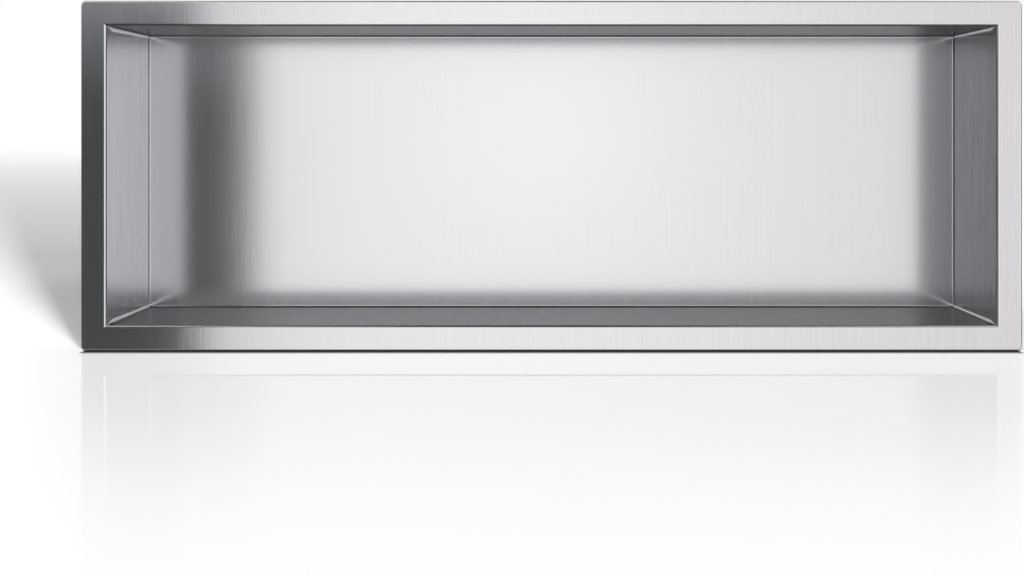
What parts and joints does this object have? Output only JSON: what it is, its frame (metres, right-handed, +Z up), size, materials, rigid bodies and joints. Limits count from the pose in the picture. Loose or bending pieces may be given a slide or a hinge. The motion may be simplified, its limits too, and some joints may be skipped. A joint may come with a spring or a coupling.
{
  "type": "shower niche insert",
  "caption": "Recessed shower niche insert: a wide, shallow stainless steel box whose flat flange covers the edge of the wall cut-out and whose floor is a shelf for bath items.",
  "frame": {"origin": "centre of the opening on the plane of the finished wall, which the flange's turned-back edge bears on", "axes": "+X to the right along the opening's width, +Y into the wall, +Z up; the opening faces -Y"},
  "size_m": [0.956, 0.0992, 0.356],
  "materials": {
    "brushed_stainless": "satin brushed, with the grain upright"
  },
  "bodies": {
    "root": {"niche_body": "brushed_stainless"}
  },
  "joints": []
}
